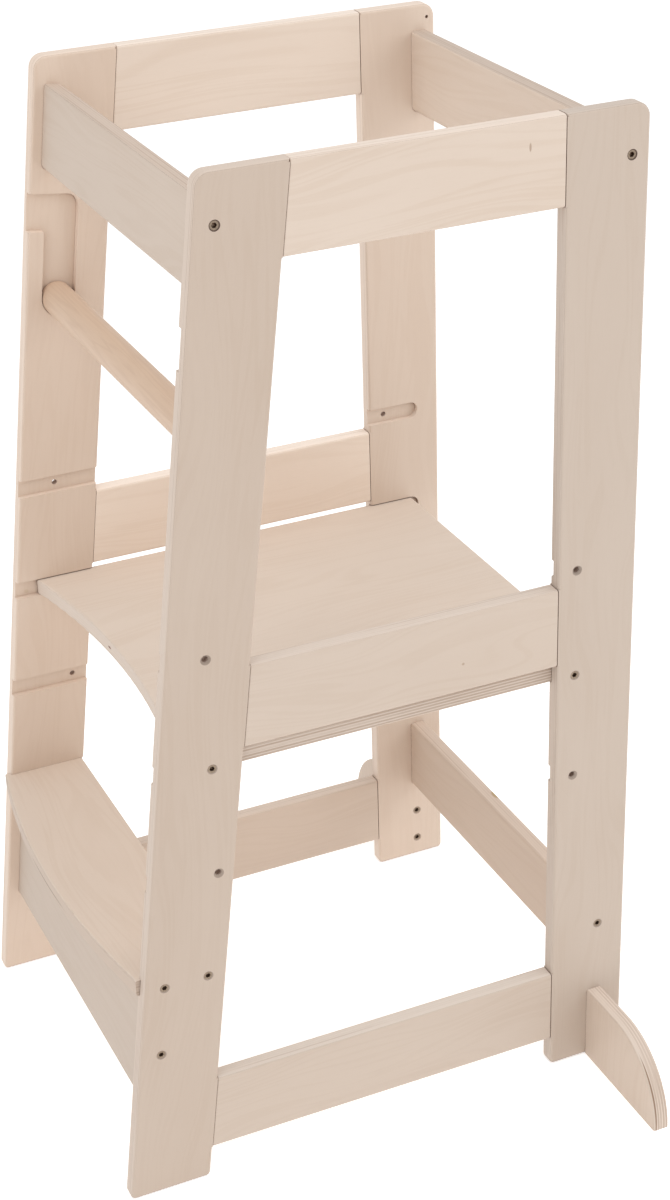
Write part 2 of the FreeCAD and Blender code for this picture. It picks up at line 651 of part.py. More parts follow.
def make_curved_board(label, thickness, bottom, front, back, rise, corner_round, screws):
    """A level board housed in the legs, with a curved front edge.  A positive
    rise bows the front outwards."""
    body = start_body(label, height=bottom)
    half = f"({HALF_WIDTH} + dims.groove_depth - dims.end_clearance)"
    corners = [(f"-{half}", front), (half, front), (half, back), (f"-{half}", back)]
    bulge = rise if value_of(rise) > 0 else f"({rise})"
    size = f"abs({rise})"
    sketch = outline_sketch(body, "outline", "XY_Plane", corners,
                            {0: (arc_radius(half, size), bulge)})
    pad(body, "board", sketch, thickness)
    if corner_round is not None:
        upright = value_of(thickness)
        fillet(body, "corners", corner_round,
               lambda edge: abs(edge.BoundBox.ZLength - upright) < NEAR
               and edge.BoundBox.XLength < NEAR)
    flat = value_of(thickness)
    half_value = value_of(half)

    def rim(edge):
        point = middle(edge)
        return (edge.BoundBox.ZLength < NEAR and abs(abs(point.x) - half_value) > NEAR
                and (abs(point.z) < NEAR or abs(point.z - flat) < NEAR)
                and edge.BoundBox.XLength > half_value)

    fillet(body, "rims", "dims.rim_round", rim)
    for word, side in SIDES:
        holes = circle_sketch(body, f"{word}_pilot_outline", "YZ_Plane",
                              [(depth, f"{thickness} / 2") for depth in screws],
                              SCREW_HOLE, offset=f"{side} * {half}")
        pocket(body, f"{word}_pilots", holes, f"{SCREW_BITE} + dims.groove_depth",
               reverse=side == LEFT)


def make_safety_bar():
    along = f"({CHANNEL_SEAT} - dims.bar_clearance + dims.rest_clearance)"
    height = f"({along} * cos(dims.slant_angle) - {CHANNEL_CENTRE} * sin(dims.slant_angle))"
    body = start_body("safety_bar", depth=behind_front(CHANNEL_CENTRE, height), height=height)
    sketch = circle_sketch(body, "section", "YZ_Plane", [("0", "0")], "dims.bar_diameter / 2")
    pad(body, "rod", sketch,
        "dims.inner_width + 2 * (dims.bar_pocket_depth - dims.end_clearance)", both_ways=True)
    chamfer(body, "ends", "dims.bar_end_chamfer",
            lambda edge: edge.Curve.TypeId == "Part::GeomCircle")


def make_foot(word, side):
    body = start_body(f"{word}_foot", depth=FOOT_CENTRE,
                      across=f"{side} * ({HALF_WIDTH} + dims.board_thickness)")
    tip = f"{side} * dims.foot_length"
    crest = f"{side} * (dims.foot_length - dims.foot_height)"
    corners = [("0", "0"), (tip, "0"), (crest, "dims.foot_height"), ("0", "dims.foot_height")]
    bulge = f"{side} * dims.foot_height * (1 - cos(45))"
    sketch = outline_sketch(body, "outline", "XZ_Plane", corners,
                            {1: ("dims.foot_height", bulge)})
    pad(body, "board", sketch, "dims.board_thickness", both_ways=True)

    def rim(edge):
        point = middle(edge)
        return edge.BoundBox.YLength < NEAR and abs(point.x) > NEAR and point.z > NEAR

    fillet(body, "long_edges", "dims.rim_round", rim)
    pilot = circle_sketch(body, "pilot_outline", "YZ_Plane",
                          [("0", height) for height in FOOT_SCREWS], SCREW_HOLE)
    pocket(body, "pilots", pilot, SCREW_BITE, reverse=side == RIGHT)


# --- Hardware -----------------------------------------------------------------

def make_screw_pattern():
    """One screw along -X, sunk from the board's face, which is at the origin."""
    body = document.addObject("PartDesign::Body", "screw_pattern")
    head = "dims.screw_head / 2"
    shank = "dims.screw_diameter / 2"
    top = "-dims.screw_sink"
    end = f"-{SCREW_REACH}"
    corners = [(top, "0"), (top, head), (f"{top} - ({head} - {shank})", shank),
               (f"{end} + dims.screw_tip", shank), (end, "dims.screw_tip / 2"), (end, "0")]
    profile = outline_sketch(body, "profile", "XY_Plane", corners)
    turned = body.newObject("PartDesign::Revolution", "turned")
    turned.Profile = profile
    turned.ReferenceAxis = (profile, ["H_Axis"])
    turned.Angle = 360
    document.recompute()
    flat = "dims.screw_socket / 2"
    corner = "dims.screw_socket / 2 / cos(30)"
    hexagon = [(f"{corner} * cos({60 * n})", f"{corner} * sin({60 * n})") for n in range(6)]
    socket = outline_sketch(body, "socket_outline", "YZ_Plane", hexagon, offset=top)
    pocket(body, "socket", socket, "dims.screw_socket_depth")
    return body.Shape


def make_dowel_pattern(name, length):
    """One dowel, centred on the origin along X."""
    body = document.addObject("PartDesign::Body", name)
    sketch = circle_sketch(body, "section", "YZ_Plane", [("0", "0")],
                           "dims.dowel_diameter / 2")
    pad(body, "rod", sketch, length, both_ways=True)
    chamfer(body, "ends", "dims.dowel_chamfer",
            lambda edge: edge.Curve.TypeId == "Part::GeomCircle")
    return body.Shape


def copy_to(shape, point, turn):
    copy = shape.copy()
    copy.Placement = FreeCAD.Placement(
        FreeCAD.Vector(*point), FreeCAD.Rotation(Z_AXIS, turn))
    return copy


def add_group(label, solids):
    """Identical pieces in one node, as separate solids."""
    group = document.addObject("Part::Feature", label)
    group.Label = label
    group.Shape = Part.makeCompound(solids)


def screw_group(label, screw, places, sides=SIDES, from_outside=True):
    half = value_of(HALF_WIDTH)
    face = half + value_of("dims.board_thickness") if from_outside else half
    solids = []
    for word, side in sides:
        turn = 0 if side * (1 if from_outside else -1) > 0 else 180
        for depth, height in places:
            solids.append(copy_to(screw, (side * face, value_of(depth), value_of(height)), turn))
    add_group(label, solids)


def cross_dowel_group(label, dowel, places):
    bite = value_of("dims.cross_dowel_bite") - value_of("dims.cross_dowel_length") / 2
    half = value_of(HALF_WIDTH)
    add_group(label, [copy_to(dowel, (side * (half + bite), value_of(depth), value_of(height)), 0)
                      for word, side in SIDES for depth, height in places])


def frame_dowel_group(word, side, dowel):
    middle_x = side * (value_of(HALF_WIDTH) + value_of("dims.board_thickness") / 2)
    solids = []
    for name, bottom, top, height in SIDE_RAILS:
        centre = f"({bottom} + {height} / 2)"
        for place in (f"({bottom} + dims.frame_dowel_inset)", f"({top} - dims.frame_dowel_inset)"):
            for seam in (front_seam(centre), BACK_SEAM):
                solids.append(copy_to(dowel, (middle_x, value_of(seam), value_of(place)), 90))
    add_group(f"{word}_frame_dowels", solids)


def make_hardware():
    screw = make_screw_pattern()
    frame_dowel = make_dowel_pattern("frame_dowel_pattern", "dims.frame_dowel_length")
    cross_dowel = make_dowel_pattern("cross_dowel_pattern", "dims.cross_dowel_length")
    for label, (screws, dowels) in {**FRONT_JOINTS, **BACK_JOINTS}.items():
        screw_group(f"{label}_screws", screw, screws)
        cross_dowel_group(f"{label}_dowels", cross_dowel, dowels)
    screw_group("platform_screws", screw,
                [(depth, PLATFORM_SCREW_HEIGHT)
                 for depth in (PLATFORM_SCREW_FRONT, PLATFORM_SCREW_BACK)])
    screw_group("step_screws", screw, [(depth, STEP_SCREW_HEIGHT) for depth in STEP_SCREWS])
    for word, side in SIDES:
        screw_group(f"{word}_foot_screws", screw,
                    [(FOOT_CENTRE, height) for height in FOOT_SCREWS],
                    sides=((word, side),), from_outside=False)
        frame_dowel_group(word, side, frame_dowel)


# --- Assembly and export ------------------------------------------------------

for word, side in SIDES:
    make_front_leg(word, side)
    make_back_leg(word, side)
    for rail in SIDE_RAILS:
        make_side_rail(word, side, *rail)
    make_foot(word, side)
make_cross_pieces()
make_curved_board("platform", "dims.platform_thickness", PLATFORM_BOTTOM, PLATFORM_FRONT,
                  PLATFORM_BACK, "-dims.platform_hollow", "dims.platform_corner_round",
                  (PLATFORM_SCREW_FRONT, PLATFORM_SCREW_BACK))
make_curved_board("step_board", "dims.step_thickness", STEP_BOTTOM, STEP_FRONT, STEP_BACK,
                  "dims.step_bow", None, STEP_SCREWS)
make_safety_bar()
make_hardware()

document.recompute()
for item in document.Objects:
    if "Invalid" in item.State or "Error" in item.State:
        raise RuntimeError(f"{item.Label} did not build: {item.State}")

PATTERNS = ("screw_pattern", "frame_dowel_pattern", "cross_dowel_pattern")
nodes = [item for item in document.Objects
         if item.Name not in PATTERNS
         and (item.TypeId == "PartDesign::Body" or item.TypeId == "Part::Feature")]
for node in nodes:
    if node.Shape.isNull() or not node.Shape.isValid():
        raise RuntimeError(f"{node.Label} has no valid shape")

os.makedirs("parts", exist_ok=True)
for node in nodes:
    node.Shape.exportStep(f"parts/{node.Label}.step")
    print(f"{node.Label}: {len(node.Shape.Solids)} solid(s), {node.Shape.Volume:.0f} mm3")
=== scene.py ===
import math
from dataclasses import dataclass

import bpy
from mathutils import Matrix, Vector


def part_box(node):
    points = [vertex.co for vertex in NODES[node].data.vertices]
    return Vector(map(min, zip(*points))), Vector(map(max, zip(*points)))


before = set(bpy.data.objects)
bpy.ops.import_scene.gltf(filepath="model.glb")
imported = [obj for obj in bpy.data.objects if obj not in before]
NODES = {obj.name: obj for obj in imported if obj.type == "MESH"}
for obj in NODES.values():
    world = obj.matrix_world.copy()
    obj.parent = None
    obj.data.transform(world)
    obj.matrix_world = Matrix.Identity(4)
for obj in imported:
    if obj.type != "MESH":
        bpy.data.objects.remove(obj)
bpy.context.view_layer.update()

# The tower's own solids carry every shape.  This script gives each board its
# veneer, its plies and its grain, and sets the floor, the light and the camera.
# Metres, in the part's frame: +X right, +Y towards the worktop, +Z up.

MM = 0.001
BOARD = 15.0  # plywood thickness, mm
PLIES = 11  # veneers in a board
SLANT = math.radians(7.2)  # lean of the front legs


# --- A small helper for shader graphs -----------------------------------------

class Graph:
    """Builds a node tree from values, so that a material reads as a formula."""

    def __init__(self, tree):
        self.tree = tree

    def node(self, kind, **settings):
        made = self.tree.nodes.new("ShaderNode" + kind)
        for name, value in settings.items():
            setattr(made, name, value)
        return made

    def feed(self, socket, value):
        if isinstance(value, bpy.types.NodeSocket):
            self.tree.links.new(value, socket)
        else:
            socket.default_value = value

    def math(self, operation, first, second=0.0, third=0.0, clamp=False):
        made = self.node("Math", operation=operation, use_clamp=clamp)
        for socket, value in zip(made.inputs, (first, second, third)):
            self.feed(socket, value)
        return made.outputs[0]

    def add(self, first, second):
        return self.math("ADD", first, second)

    def times(self, first, second):
        return self.math("MULTIPLY", first, second)

    def smooth(self, value, low, high, out_low=0.0, out_high=1.0):
        """A soft step from out_low at low to out_high at high."""
        made = self.node("MapRange", interpolation_type="SMOOTHSTEP")
        for socket, number in zip(made.inputs, (value, low, high, out_low, out_high)):
            self.feed(socket, number)
        return made.outputs[0]

    def less(self, first, second):
        return self.math("SUBTRACT", first, second)

    def inverse(self, share):
        return self.less(1.0, share)

    def vector(self, x, y, z):
        made = self.node("CombineXYZ")
        for socket, value in zip(made.inputs, (x, y, z)):
            self.feed(socket, value)
        return made.outputs[0]

    def split(self, vector):
        made = self.node("SeparateXYZ")
        self.feed(made.inputs[0], vector)
        return tuple(made.outputs)

    def dot(self, vector, constant):
        made = self.node("VectorMath", operation="DOT_PRODUCT")
        self.feed(made.inputs[0], vector)
        self.feed(made.inputs[1], constant)
        return made.outputs["Value"]

    def noise(self, parts, rates, detail=2.0, rough=0.5, distortion=0.0):
        """Noise from 0 to 1 with a mean of about a half, from each part of a
        place at its own rate, in waves per unit."""
        made = self.node("TexNoise")
        self.feed(made.inputs["Vector"], self.vector(*map(self.times, parts, rates)))
        self.feed(made.inputs["Scale"], 1.0)
        self.feed(made.inputs["Detail"], detail)
        self.feed(made.inputs["Roughness"], rough)
        self.feed(made.inputs["Distortion"], distortion)
        return made.outputs["Fac"]

    def from_point(self, centre):
        """The shaded point's offset from a centre, in metres."""
        offset = self.node("VectorMath", operation="SUBTRACT")
        self.feed(offset.inputs[0], self.node("TexCoord").outputs["Object"])
        self.feed(offset.inputs[1], centre)
        return offset.outputs[0]

    def mix(self, factor, first, second, blend="MIX"):
        made = self.node("Mix", data_type="RGBA", blend_type=blend)
        self.feed(made.inputs["Factor"], factor)
        self.feed(made.inputs[6], first)
        self.feed(made.inputs[7], second)
        return made.outputs[2]


def colour(red, green, blue):
    """A screen colour, 0 to 255, as the linear values that shaders use."""
    def linear(value):
        share = value / 255
        return share / 12.92 if share <= 0.04045 else ((share + 0.055) / 1.055) ** 2.4
    return (linear(red), linear(green), linear(blue), 1.0)


# --- Plywood ------------------------------------------------------------------

VENEER = colour(206, 189, 174)  # pale rotary-cut birch
VENEER_DEEP = colour(193, 171, 151)  # its darker growth bands
VENEER_PALE = colour(214, 199, 185)  # its palest streaks
END_GRAIN = colour(164, 137, 116)  # a cross ply seen end on
LONG_GRAIN = colour(217, 202, 189)  # a ply cut along its grain
GLUE = colour(128, 98, 78)  # the line between two plies
FIBRE = colour(166, 138, 117)  # fine dark fibres
PAINTED_SHADE = colour(128, 82, 52)  # painted shade in narrow gaps, corners, holes and under ledges
PAINTED_CONE_SHADE = colour(74, 52, 40)  # painted shade on a countersink's cone wall
CONE = math.cos(math.radians(45))  # a countersink's normal against the face's
FACE_TURN = (0.85, 0.35)  # normal's share through the board, from face to edge

# Rates of the patterns: waves per mm along the grain, across it and through the
# board, or per ply
BEND_RATES = (0.0035, 0.012, 1.0)  # how the growth bands wander
BAND_RATES = (0.0022, 1.0, 3.7)  # the growth bands, across them already bent
DRIFT_RATES = (0.006, 0.018, 1.0)  # slow changes of tone
FIBRE_RATES = (0.03, 1.3, 1.3)
PORE_RATES = (0.1, 3.4, 3.4)
WAVER_RATES = (0.012, 0.012, 0.0)  # unevenness of the glue lines
STREAK_RATES = (0.2, 0.2, 2.5)  # fibre ends along a ply's edge
BREAK_RATES = (0.03, 0.03, 5.3)  # where a glue line shows
FADE_RATES = (0.005, 0.005, 5.3)  # where plies stand out at all

BAND_PITCH = 0.045  # growth bands' rate across the grain, before the bend
BAND_BEND = 4.2
RINGS = 46.0  # how many rings the bands' noise is cut into
WAVER = 0.35  # mm, how far the glue lines wander
SKIN = 0.02  # plies, keeps a face's points inside its outer ply

# How much each pattern adds to the tone
RING_SHARE, RING_PALE = 0.42, 0.12
DRIFT_SHARE = 0.6
FIBRE_SHARE = 0.25
PORE_SHARE = 0.1
STREAK_SHARE = 0.35

# Soft steps on the patterns: from, to and, where it isn't 0 to 1, the result
RING_STEP = (-0.3, 1.0)
PORE_STEP = (0.62, 0.8)
BREAK_STEP = (0.36, 0.62, 0.15, 0.95)
GLUE_STEP = (0.16, 0.03)  # from a joint between plies, as a share of a ply
END_ON_STEP = (0.25, 0.8)
STREAK_STEP = (0.35, 0.75)
AT_END_STEP = (0.3, 0.9)
PATCH_FROM, PATCH_TO, PATCH_LEAST = 0.62, 0.76, 0.25
CONE_STEP = (0.02, 0.005)

# Roughness, and relief in the height that the bump reads
ROUGH, ROUGH_FIBRES, ROUGH_ENDS = 0.5, 0.12, 0.1
FIBRE_RELIEF, PORE_RELIEF, GLUE_RELIEF = 0.6, -0.5, -0.6


def face_figure(g, u, v, w, number):
    """Growth bands, drifting tone, fibres and pores of a face, from u along the
    grain, v across it, w through it and the ply's number.  Each is about 0 to 1."""
    bend = g.noise((u, v, number), BEND_RATES, detail=1.0)
    across = g.add(g.times(v, BAND_PITCH), g.times(bend, BAND_BEND))
    bands = g.noise((u, across, number), BAND_RATES, rough=0.6, distortion=0.25)
    rings = g.smooth(g.math("SINE", g.times(bands, RINGS)), *RING_STEP)
    drift = g.noise((u, v, number), DRIFT_RATES)
    fibres = g.noise((u, v, w), FIBRE_RATES, detail=3.0, rough=0.6)
    pores = g.smooth(g.noise((u, v, w), PORE_RATES, detail=1.0), *PORE_STEP)
    return rings, drift, fibres, pores


def face_colour(g, strength, rings, drift, fibres, pores):
    """A face's veneer, with its growth bands scaled by a strength."""
    figure = g.times(strength, g.add(g.times(rings, RING_SHARE), -RING_PALE))
    figure = g.add(figure, g.times(g.add(drift, -0.5), DRIFT_SHARE))
    figure = g.add(figure, g.times(g.add(fibres, -0.5), FIBRE_SHARE))
    face = g.mix(g.math("MAXIMUM", figure, 0.0, clamp=True), VENEER, VENEER_DEEP)
    pale = g.math("MULTIPLY", figure, -1.0, clamp=True)
    face = g.mix(pale, face, VENEER_PALE)
    return g.mix(g.times(pores, PORE_SHARE), face, FIBRE)


def plies_across(g, u, v, w):
    """The height in plies from one face, the ply's number and the place in it."""
    waver = g.noise((u, v, 0.0), WAVER_RATES)
    depth = g.add(w, g.times(g.add(waver, -0.5), WAVER))
    layer = g.times(g.add(depth, BOARD / 2), PLIES / BOARD)
    layer = g.math("MINIMUM", g.math("MAXIMUM", layer, SKIN), PLIES - SKIN)
    return layer, g.math("FLOOR", layer), g.math("FRACT", layer)


def glue_lines(g, u, v, number, fraction):
    """Broken dark lines between the plies, 0 to 1."""
    from_joint = g.math("MINIMUM", fraction, g.inverse(fraction))
    breaks = g.noise((u, v, number), BREAK_RATES, detail=1.0)
    return g.times(g.smooth(from_joint, *GLUE_STEP), g.smooth(breaks, *BREAK_STEP))


def edge_colour(g, u, v, layer, end_on, glue):
    """A cut edge in full contrast: plies seen end on are darker."""
    streak = g.noise((u, v, layer), STREAK_RATES)
    edge = g.mix(g.smooth(end_on, *END_ON_STEP), LONG_GRAIN, END_GRAIN)
    edge = g.mix(g.times(g.smooth(streak, *STREAK_STEP), STREAK_SHARE), edge, VENEER_DEEP)
    return g.mix(glue, edge, GLUE)


def edge_contrast(g, u, v, number, normal_u, inputs):
    """How much of that contrast shows, in patches that grow with it."""
    at_end = g.smooth(normal_u, *AT_END_STEP)
    contrast = g.add(inputs["Plies"], g.times(at_end, g.less(inputs["Ends"], inputs["Plies"])))
    half = g.times(contrast, 0.5)
    patches = g.noise((u, v, number), FADE_RATES)
    shown = g.smooth(patches, g.less(PATCH_FROM, half), g.less(PATCH_TO, half), PATCH_LEAST)
    return g.times(contrast, shown)


def plywood_group():
    """Plywood as a solid: place in mm (u along the face grain, v across it, w through the
    thickness) and the normal in the same axes.  Figure scales the growth bands, Plies and Ends
    the contrast of the cut edges along the grain and across it, Edge their tint, which partly
    holds painted light and shade, and PaintedConeShade how much painted shade darkens the
    countersinks' cone walls."""
    group = bpy.data.node_groups.new("plywood", "ShaderNodeTree")
    for name, kind in (("Place", "Vector"), ("Normal", "Vector"), ("Figure", "Float"),
                       ("Plies", "Float"), ("Ends", "Float"), ("Edge", "Color"),
                       ("PaintedConeShade", "Float")):
        group.interface.new_socket(name, in_out="INPUT", socket_type="NodeSocket" + kind)
    for name, kind in (("Colour", "Color"), ("Roughness", "Float"), ("Height", "Float")):
        group.interface.new_socket(name, in_out="OUTPUT", socket_type="NodeSocket" + kind)
    g = Graph(group)
    inputs = group.nodes.new("NodeGroupInput").outputs
    outputs = group.nodes.new("NodeGroupOutput").inputs
    u, v, w = g.split(inputs["Place"])
    normal_u, normal_v, normal_w = (g.math("ABSOLUTE", o) for o in g.split(inputs["Normal"]))

    layer, number, fraction = plies_across(g, u, v, w)
    crosswise = g.math("MODULO", number, 2.0)
    end_on = g.add(g.times(crosswise, normal_v), g.times(g.inverse(crosswise), normal_u))
    rings, drift, fibres, pores = face_figure(g, u, v, w, number)
    face = face_colour(g, inputs["Figure"], rings, drift, fibres, pores)
    glue = glue_lines(g, u, v, number, fraction)
    edge = edge_colour(g, u, v, layer, end_on, glue)
    edge = g.mix(edge_contrast(g, u, v, number, normal_u, inputs), LONG_GRAIN, edge)
    edge = g.mix(1.0, edge, inputs["Edge"], blend="MULTIPLY")
    sawn = g.mix(g.smooth(normal_w, *FACE_TURN), face, edge)
    # painted shade on the cone walls of countersinks
    cone = g.smooth(g.math("ABSOLUTE", g.add(normal_w, -CONE)), *CONE_STEP)
    g.feed(outputs["Colour"], g.mix(g.times(cone, inputs["PaintedConeShade"]), sawn, PAINTED_CONE_SHADE))
    rough = g.add(g.times(fibres, ROUGH_FIBRES), g.times(end_on, ROUGH_ENDS))
    g.feed(outputs["Roughness"], g.add(ROUGH, rough))
    height = g.add(g.times(fibres, FIBRE_RELIEF), g.times(pores, PORE_RELIEF))
    g.feed(outputs["Height"], g.add(height, g.times(glue, GLUE_RELIEF)))
    return group


PLYWOOD = plywood_group()


# --- Boards and their directions ----------------------------------------------

RIGHT = Vector((1, 0, 0))
DEEP = Vector((0, 1, 0))
UP = Vector((0, 0, 1))
LEG_UP = Vector((0, math.sin(SLANT), math.cos(SLANT)))  # up a front leg
LEG_BACK = Vector((0, math.cos(SLANT), -math.sin(SLANT)))  # square to it


@dataclass
class Board:
    """How a board's plywood lies: its grain's direction, across its face, the strength of its
    figure, the contrast of its plies on the long edges and at the ends, its tone and warmth, and
    those of its edges against its faces.  The tones and warmths are partly the board's own
    colour and partly painted light and shade: a board, or its edges against its faces, is made
    lighter, darker or warmer by how light falls on it where it stands."""
    along: Vector
    across: Vector
    figure: float = 0.4
    plies: float = 0.3
    ends: float = 0.9
    tone: float = 1.0
    warmth: float = 0.0
    edge_tone: float = 1.0
    edge_warmth: float = 0.0


# small marks, natural ones and one painted shadow line: each board's place, half-size (both mm)
# and colour
MARKS = {
    "platform": ((-37, -149, 412), (3.5, 4, 1), colour(104, 52, 38)),  # a gap in the core
    "right_mid_rail": ((192.5, 81, 450), (1, 1.3, 1.3), colour(180, 158, 140)),  # a pin knot
    "right_top_rail": ((192.5, 139, 879), (1, 1, 3.5), colour(178, 156, 138)),  # a fine split
    "left_front_leg": ((-182.5, -181, 408), (1, 2.2, 2), colour(205, 184, 162)),  # a speck
    "back_low_rail": ((-17, 223, 162), (7, 3, 2), colour(182, 158, 122)),  # a stain
    # a painted shadow line across the step's nose, for the dark gap between step and riser
    "step_board": ((-3, -237, 210.3), (48, 30, 0.55), colour(120, 100, 82)),
    # an open glue line
    "right_foot": ((303, 210, 28), (30, 0.8, 42), colour(146, 120, 100)),
}

# Tones and warmths below hold painted light and shade as well as each board's own colour: boards
# in shadow, lit faces and edges are tinted by how light falls on them.
BOARDS = {
    "right_front_leg": Board(LEG_UP, LEG_BACK, figure=0.3, ends=0.2, tone=0.88, warmth=0.7),
    "right_back_leg": Board(UP, DEEP, figure=0.3, ends=0.2, tone=0.885, edge_tone=0.895),
    "right_top_rail": Board(DEEP, UP, figure=0.55, tone=1.078, warmth=-0.3),
    "right_mid_rail": Board(DEEP, UP, tone=0.97, edge_warmth=-0.5),
    "right_low_rail": Board(DEEP, UP, tone=0.945, edge_tone=1.067, edge_warmth=-2.0),
    "left_front_leg": Board(LEG_UP, LEG_BACK, figure=0.3, ends=0.2, tone=1.075, warmth=1.2),
    "left_back_leg": Board(UP, DEEP, figure=0.3, ends=0.2, tone=1.08, warmth=0.6),
    "left_top_rail": Board(DEEP, UP, figure=0.55, tone=1.182, warmth=-0.8),
    "left_mid_rail": Board(DEEP, UP, tone=1.32, warmth=-0.6),
    "left_low_rail": Board(DEEP, UP, tone=0.98, warmth=0.5),
    "front_top_rail": Board(RIGHT, LEG_UP, tone=0.89, edge_tone=0.92, edge_warmth=1.7),
    "back_top_rail": Board(RIGHT, UP, tone=1.07, edge_tone=0.728, edge_warmth=1.5),
    "back_low_rail": Board(RIGHT, UP, tone=0.98, warmth=0.8, edge_tone=0.975),
    "step_riser": Board(RIGHT, LEG_UP, tone=0.86),
    "platform": Board(DEEP, RIGHT, plies=0.6, ends=0.15, tone=1.1, warmth=-0.9,
                      edge_tone=0.83, edge_warmth=1.2),
    "step_board": Board(RIGHT, DEEP, plies=0.1, ends=0.4, tone=1.12, warmth=-0.8,
                        edge_tone=0.686, edge_warmth=2.9),
    "right_foot": Board(UP, RIGHT, plies=0.6, ends=0.35, tone=0.97, edge_tone=1.05),
    "left_foot": Board(UP, RIGHT, plies=0.6, ends=0.35, tone=0.97, edge_tone=1.05),
}


# --- Materials ----------------------------------------------------------------

SEED_SHIFT = (917.0, 331.0)  # mm between one board's place in the veneer and the next's
GREEN_PER_WARMTH, BLUE_PER_WARMTH = 0.025, 0.045  # shares that a unit of warmth takes away
MARK_STEP = (1.2, 0.7)  # soft rim of a mark, in its half-sizes
SAMPLES = 8  # rays that look for what is close
BOARD_GLOSS = 0.3
PAINTED_CONE_SHADE_BY_HEIGHT = (0.45, 0.7, 0.35, 0.9)  # painted shade on countersinks, from low screws to high, in m
GRAIN_BUMP = 0.2  # mm, with the bump's strength the same number

# Painted shade: seams, corners, holes and the undersides of ledges darken by how closed in they
# are
LOOK_UP = 0.6  # how far an upright face's look-out is tilted up, so painted shade falls under ledges
SEAM_REACH, SEAM_CLOSED = 2.8, (0.68, 0.28, 0.0, 0.95)  # mm; openness to painted shade
HOLE_REACH, HOLE_CLOSED = 9.0, (0.45, 0.15, 0.0, 0.8)
FLOOR_OF_GROOVE = (0.9, 0.2, 0.35, 1.0)  # painted seam shade is weaker on faces that look up, lit from above

BEECH_PALE = colour(204, 178, 155)
BEECH_DARK = colour(186, 158, 136)
HEART_RATES = (0.004, 0.14, 0.05)  # waves per mm along the rod and across it
BEECH_FIBRE_RATES = (0.05, 1.8, 1.8)
BEECH_RINGS = 40.0
BEECH_RING_STEP = (-0.4, 1.0)
BEECH_RING_SHARE, BEECH_FIBRE_SHARE, BEECH_PALENESS = 0.25, 0.5, -0.15
BEECH_ROUGH, BEECH_ROUGH_FIBRES = 0.42, 0.15
BEECH_GLOSS = 0.4

ZINC_PALE = colour(168, 150, 132)
ZINC_DARK = colour(118, 102, 86)
FILM_RATES = (900.0, 900.0, 900.0)  # waves per metre
ZINC_METAL = 0.9
ZINC_ROUGH, ZINC_ROUGH_FILM = 0.3, 0.2


def new_material(name):
    """A node material, as the material, its graph and its shader."""
    material = bpy.data.materials.new(name)
    material.use_nodes = True
    return material, Graph(material.node_tree), material.node_tree.nodes["Principled BSDF"]


def raise_grain(g, shader, height):
    bump = g.node("Bump")
    bump.inputs["Strength"].default_value = GRAIN_BUMP
    bump.inputs["Distance"].default_value = GRAIN_BUMP * MM
    g.feed(bump.inputs["Height"], height)
    g.feed(shader.inputs["Normal"], bump.outputs[0])


def warmed(tone, warmth):
    """A tint that scales by a tone and takes some green and blue away."""
    green = tone * (1 - GREEN_PER_WARMTH * warmth)
    blue = tone * (1 - BLUE_PER_WARMTH * warmth)
    return (tone, green, blue, 1.0)


def blemish(g, spot, half_size):
    """A small oval mark, 0 to 1, at a place in mm."""
    place = g.node("TexCoord").outputs["Object"]
    offsets = (g.times(g.add(g.times(part, 1 / MM), -middle), 1 / half)
               for part, middle, half in zip(g.split(place), spot, half_size))
    reach = g.node("VectorMath", operation="LENGTH")
    g.feed(reach.inputs[0], g.vector(*offsets))
    return g.smooth(reach.outputs["Value"], *MARK_STEP)


def openness(g, normal, reach):
    """How open a point's surroundings are within a reach in mm, 0 to 1."""
    occlusion = g.node("AmbientOcclusion", samples=SAMPLES)
    occlusion.inputs["Distance"].default_value = reach * MM
    g.feed(occlusion.inputs["Normal"], normal)
    return occlusion.outputs["AO"]


def painted_crevice_shade(g):
    """How much painted shade a point gets, 0 to 1, by how closed in it is: seams, holes and
    under ledges.  On upright faces the look-out is tilted up, so that the painted shade falls
    under ledges like a shadow from light above."""
    x, y, z = g.split(g.node("NewGeometry").outputs["Normal"])
    steepness = g.inverse(g.math("ABSOLUTE", z))
    tilted = g.node("VectorMath", operation="NORMALIZE")
    g.feed(tilted.inputs[0], g.vector(x, y, g.add(z, g.times(steepness, LOOK_UP))))
    seams = g.smooth(openness(g, tilted.outputs[0], SEAM_REACH), *SEAM_CLOSED)
    seams = g.times(seams, g.smooth(z, *FLOOR_OF_GROOVE))
    holes = g.smooth(openness(g, tilted.outputs[0], HOLE_REACH), *HOLE_CLOSED)
    return g.math("MAXIMUM", seams, holes)


